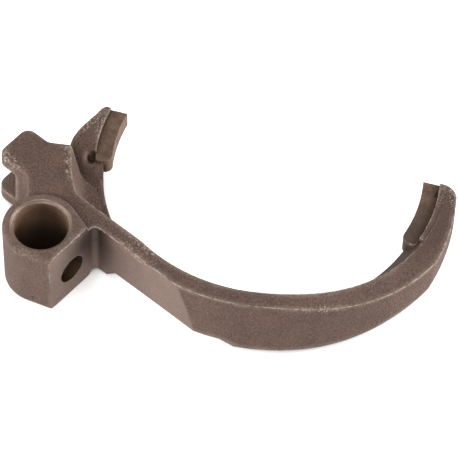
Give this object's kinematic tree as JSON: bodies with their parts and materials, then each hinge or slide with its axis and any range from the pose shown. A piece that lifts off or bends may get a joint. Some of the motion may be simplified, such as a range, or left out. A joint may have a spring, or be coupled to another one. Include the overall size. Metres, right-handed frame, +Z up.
{
  "type": "gear shift fork",
  "caption": "One-piece forged steel gear shift fork with a bored rail boss, a slotted selector lug and two unequal arms ending in machined pads.",
  "frame": {"origin": "on the axis of the rail bore, at the lower end of the boss", "axes": "+Z up along the rail bore; +X runs parallel to the line through the two arm ends, from the short arm to the long arm; the fork opens towards +Y"},
  "size_m": [0.1668, 0.0803, 0.03],
  "materials": {
    "forged_steel": "bare grey-brown forging, dull and finely pitted, with a milled boss face, a turned bore and machined pads"
  },
  "bodies": {
    "root": {"shift_fork": "forged_steel"}
  },
  "joints": []
}
